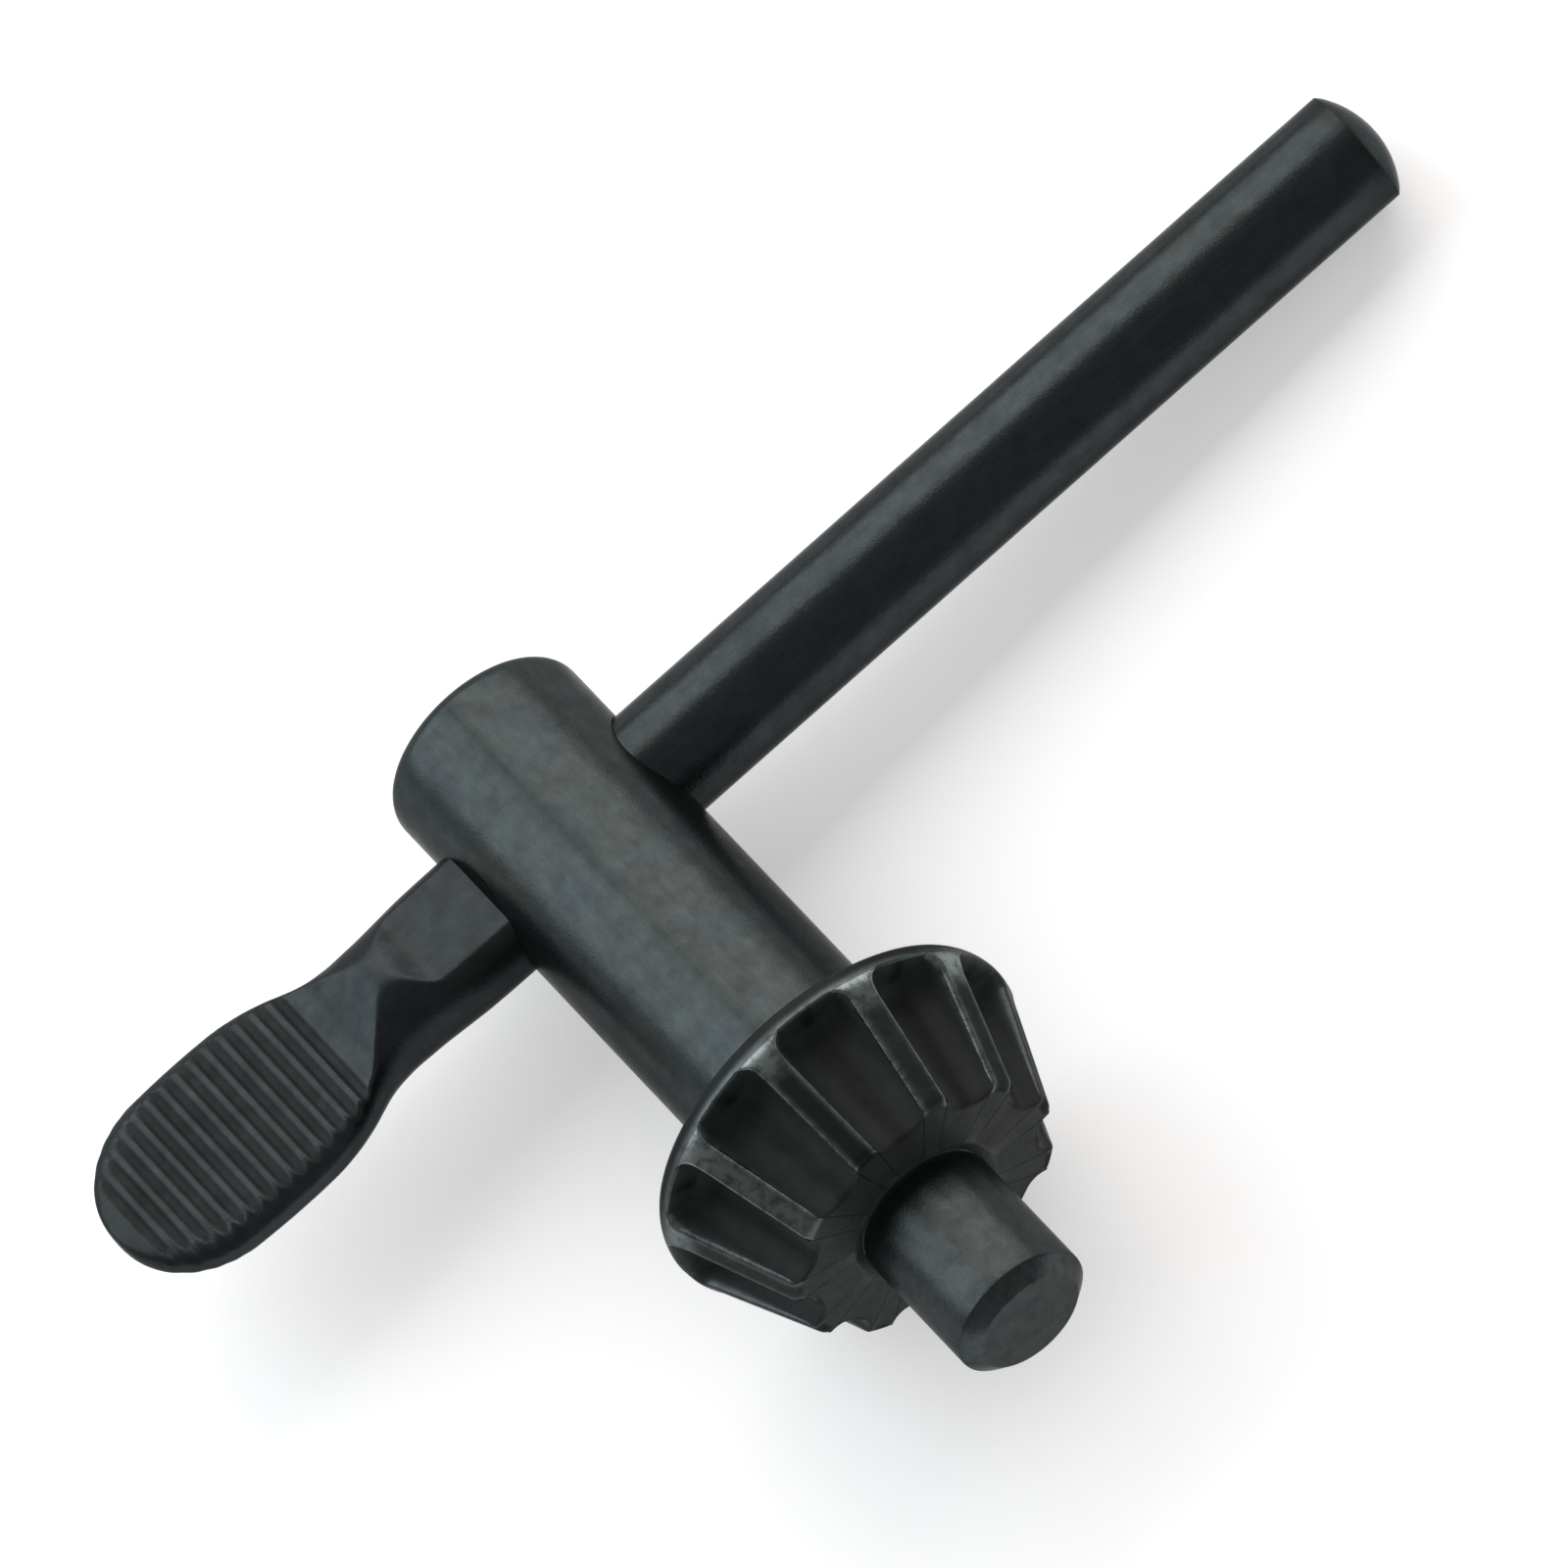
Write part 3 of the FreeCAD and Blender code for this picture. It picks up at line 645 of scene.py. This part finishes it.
def pad_outline(u):
    """Half width and half height of the forged oval at u: the spread part by the body, the neck, the
    widening to the pad, its long sides with a slight crown, and the tip as a flattened quarter turn."""
    left = smooth_row(narrowing_at, narrowing_to, (u - SHANK_R) / (NECK_AT - SHANK_R), 0.12)
    f = (u - NECK_AT) / (PAD_FULL_AT - NECK_AT)
    wide = smooth_row(widening_at, widening_to, f, 0.1)
    g = (u - PAD_FULL_AT) / (TIP_STARTS - PAD_FULL_AT)
    wide = np.where(f > 1, 1.0 - 0.035 * (2 * np.clip(g, 0, 1) - 1) ** 2, wide)
    half_w = np.where(u <= NECK_AT, NECK_W + left * (STAKED_HALF - NECK_W),
                      NECK_W + wide * (PAD_HALF - NECK_W))
    half_h = np.where(u <= NECK_AT, BAR_R + (1 - left) * (NECK_H - BAR_R),
                      NECK_H + np.minimum(1.0, f * 1.15) * (EDGE_HALF - NECK_H))
    a = np.arcsin(np.clip((u - TIP_STARTS) / (PAD_REACH - TIP_STARTS), 0, 1))
    half_w = np.where(u > TIP_STARTS, half_w * np.cos(a) ** 0.92, half_w)
    half_h = np.where(u > TIP_STARTS, EDGE_HALF * np.cos(a) ** 0.45, half_h)
    return half_w, np.minimum(half_h, half_w * 0.97 + 10 * (u <= TIP_STARTS))


def groove_share(u):
    """How deep u lies in the grooves, 0 on the ridges and 1 at a groove's middle, as a raised cosine."""
    wave = 0.5 + 0.5 * np.cos(2 * math.pi * (u - GROOVE_FIRST) / RIDGE_PITCH)
    first, last = GROOVE_FIRST - RIDGE_PITCH / 2, GROOVE_FIRST + (GROOVES - 0.5) * RIDGE_PITCH
    return np.where((u > first) & (u < last), wave, 0.0)


def die_height(u):
    """Height of the die's face over the pad: flat beside the body, over the neck, down a ramp to the pad,
    with the grooves cut into it."""
    return smooth_row(DIE_U, DIE_Z, u, 0.35) - GROOVE_DEPTH * groove_share(u)


def lower_of(a, b, soft):
    """The lower of two heights with the meeting edge rounded over a width of soft."""
    mix = np.clip(0.5 + 0.5 * (b - a) / soft, 0, 1)
    return b * (1 - mix) + a * mix - soft * mix * (1 - mix)


def pad_rings(u):
    """Rings round the pad side: an oval whose top and bottom are held under the die's face."""
    half_w, half_h = pad_outline(u)
    z = half_h[:, None] * np.abs(np.sin(around))
    soft = np.interp(u, [16, 19, 25, 29], [0.14, 0.4, 0.55, 1.1])[:, None]
    z = lower_of(z, die_height(u)[:, None] + 0 * z, soft) * np.sign(np.sin(around))
    return np.stack([-u[:, None] + 0 * z, half_w[:, None] * np.cos(around), z], -1)


# Rows are close where the grooves are, thirteen to a ridge, and closer still round the tip
pad_u = np.sort(np.concatenate([
    np.linspace(STEP_ENDS, GROOVE_FIRST - 0.6, 90),
    np.arange(GROOVE_FIRST - 0.52, PAD_REACH - 0.35, RIDGE_PITCH / 13),
    PAD_REACH - (PAD_REACH - TIP_STARTS) * (1 - np.cos(np.linspace(0.32, 0.03, 9)))]))
pad_rows = pad_rings(pad_u)
# Where the rod leaves the shank its ring follows the shank's round, then steps out to the spread oval
core = np.stack([0 * around, BAR_R * np.cos(around), BAR_R * np.sin(around)], -1)
core[:, 0] = -np.sqrt(SHANK_R ** 2 - core[:, 2] ** 2)
step_rows = [core]
for f in np.linspace(0, 1, 6)[:-1]:
    ring = pad_rings(np.array([STEP_ENDS * f + SHANK_R * (1 - f)]))[0]
    flush = -np.sqrt(SHANK_R ** 2 - ring[:, 2] ** 2) + (0.02 if f == 0 else 0)
    ring[:, 0] = flush * (1 - f) - STEP_ENDS * f
    step_rows.append(ring)
handle_rows = np.concatenate([rod_rows, np.array(step_rows), pad_rows])
handle_points = np.concatenate([handle_rows.reshape(-1, 3), [[PLAIN_REACH, 0, 0], [-PAD_REACH, 0, 0]]])
dome_pole, tip_pole = len(handle_points) - 2, len(handle_points) - 1
last_row = (len(handle_rows) - 1) * ROD_COLUMNS
fans = [(dome_pole, k, (k + 1) % ROD_COLUMNS) for k in range(ROD_COLUMNS)]
fans += [(tip_pole, last_row + (k + 1) % ROD_COLUMNS, last_row + k) for k in range(ROD_COLUMNS)]

# Marks for the finish. The pressed faces are darker than the rod. Painted shade darkens them further down in
# the grooves, and darkens the sides of the spread part and of the tip, and a ring at the edge of the dome.
# Nothing is worn or matt.
rows_u = np.concatenate([np.zeros(len(rod_rows)), np.full(len(step_rows), STEP_ENDS), pad_u])
on_face = np.abs(handle_rows[..., 2]) > by_row(np.abs(die_height(np.maximum(rows_u, STEP_ENDS)))) - 0.06
grooved = by_row((rows_u > GROOVE_FIRST - 0.6) & (rows_u < PAD_REACH - 1.0))
pressed = by_row(np.interp(rows_u, [7, 11, 15, 19, 30], [0.27, 0.27, 0.26, 0.33, 0.4]) * (rows_u > 7))
side_painted_shade = np.interp(rows_u, [7, 7.5, 13, 17, 26, 28.5, 30], [0, 0.36, 0.34, 0, 0, 0.3, 0.5])
dome_painted_shade = np.zeros(len(rows_u))
dome_painted_shade[DOME_ROWS - 2:DOME_ROWS + 3] = [0.05, 0.25, 0.5, 0.5, 0.25]
face_tone_and_painted_shade = np.where(grooved & on_face, pressed + 0.6 * by_row(groove_share(rows_u)), pressed * on_face)
handle_dark_and_painted_shade = np.maximum(face_tone_and_painted_shade, by_row(np.maximum(side_painted_shade, dome_painted_shade)))
handle_dark_and_painted_shade = np.concatenate([handle_dark_and_painted_shade.ravel(), [0, 0]])
handle_marks = {"dark_and_painted_shade": handle_dark_and_painted_shade, "worn_and_painted_highlight": 0 * handle_dark_and_painted_shade, "matt": 0 * handle_dark_and_painted_shade}

bar_steel = blackened_steel("bar_steel", (0.0336, 0.0402, 0.0428), (0.0344, 0.0409, 0.0414), 0.26, 800.0,
                            (bar_way, body_way, key_up))
handle_bar = make_piece("handle_rod", handle_points, ring_faces(len(handle_rows), ROD_COLUMNS), fans,
                        handle_marks, bar_steel)
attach(handle_bar, "root")
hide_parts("handle_bar")

# Floor
# A plain white surface under the key. It belongs to the stage and not to the part. The camera and the
# metal see it as white paper, with the key's shadow on it.
PAPER_WHITE = (0.86, 0.86, 0.86, 1)
PAPER_GLOW = 0.4
floor_mesh = bpy.data.meshes.new("floor")
floor_mesh.from_pydata([(-3, -3, 0), (3, -3, 0), (3, 3, 0), (-3, 3, 0)], [], [(0, 1, 2, 3)])
floor = bpy.data.objects.new("floor", floor_mesh)
bpy.context.scene.collection.objects.link(floor)
paper = bpy.data.materials.new("floor_paper")
paper.use_nodes = True
paper_nodes, paper_links = paper.node_tree.nodes, paper.node_tree.links
paper_shader = paper_nodes["Principled BSDF"]
paper_shader.inputs["Base Color"].default_value = PAPER_WHITE
paper_shader.inputs["Roughness"].default_value = 0.9
paper_shader.inputs["Emission Color"].default_value = (1, 1, 1, 1)
seen_by = paper_nodes.new("ShaderNodeLightPath")
seen = seen_by.outputs["Is Camera Ray"]
for ray in ("Is Glossy Ray", "Is Transmission Ray"):
    either = paper_nodes.new("ShaderNodeMath")
    either.operation = "MAXIMUM"
    paper_links.new(seen, either.inputs[0])
    paper_links.new(seen_by.outputs[ray], either.inputs[1])
    seen = either.outputs[0]
glow = paper_nodes.new("ShaderNodeMath")
glow.operation = "MULTIPLY"
glow.inputs[1].default_value = PAPER_GLOW
paper_links.new(seen, glow.inputs[0])
paper_links.new(glow.outputs[0], paper_shader.inputs["Emission Strength"])
floor_mesh.materials.append(paper)

# Camera
# It stands 400 bar radii off, which is 1.34 m, steeply above the key, with a long lens, as the
# photograph was taken. The key's axes are given as right, up and toward the camera in the picture.
axis_bar = np.array([0.7468, 0.6618, -0.0654])
axis_pilot = np.array([0.5963, -0.6229, 0.5063])
axis_top = np.array([-0.2943, 0.4172, 0.8598])
in_picture = np.array([3.243, 0.847, 400.0]) * BAR_R
to_key = np.array([axis_bar, -axis_pilot, axis_top])
view_turn = key_turn @ to_key
camera_place = key_turn @ (to_key @ in_picture) + key_shift
right, above, behind = (view_turn[:, i] / np.linalg.norm(view_turn[:, i]) for i in range(3))
camera_data = bpy.data.cameras.new("camera")
camera_data.lens = 595.5
camera_data.sensor_width = 36.0
camera_data.clip_end = 20.0
camera = bpy.data.objects.new("camera", camera_data)
turn_and_place = np.column_stack([right, above, behind, camera_place * MM])
camera.matrix_world = Matrix([*turn_and_place.tolist(), [0, 0, 0, 1]])
bpy.context.scene.collection.objects.link(camera)
bpy.context.scene.camera = camera


# Light
# Two wide soft boxes side by side behind the key, the left one cooler and the right one warmer, low
# enough to light the sides of its round parts, and a dim even room.
def soft_box(name, azimuth, elevation, distance, aside, width, height, level, tint):
    """An area lamp on a plane that faces the key from an azimuth and elevation in degrees, shifted aside
    on it toward +X. Its face is as bright as a white surface times level, whatever its size."""
    a, e = math.radians(azimuth), math.radians(elevation)
    lamp = bpy.data.lights.new(name, "AREA")
    lamp.shape = "RECTANGLE"
    lamp.size = width
    lamp.size_y = height
    lamp.energy = level * math.pi * width * height
    lamp.color = tint
    holder = bpy.data.objects.new(name, lamp)
    place = Vector((math.cos(e) * math.cos(a), math.cos(e) * math.sin(a), math.sin(e))) * distance
    place_aside = place + Vector((math.sin(a), -math.cos(a), 0)) * aside
    facing = place.to_track_quat("Z", "Y").to_matrix().to_4x4()
    holder.matrix_world = Matrix.Translation(place_aside) @ facing
    bpy.context.scene.collection.objects.link(holder)


soft_box("left_box", 91.0, 40.0, 0.9, -0.68, 1.3, 0.92, 2.4, (0.95, 1.0, 1.04))
soft_box("right_box", 91.0, 40.0, 0.9, 0.78, 1.5, 0.92, 2.4, (1.035, 1.0, 0.97))
world = bpy.data.worlds.new("room")
world.use_nodes = True
world.node_tree.nodes["Background"].inputs["Color"].default_value = (0.32, 0.315, 0.315, 1)
world.node_tree.nodes["Background"].inputs["Strength"].default_value = 1.0
bpy.context.scene.world = world
bpy.context.scene.view_settings.view_transform = "Standard"
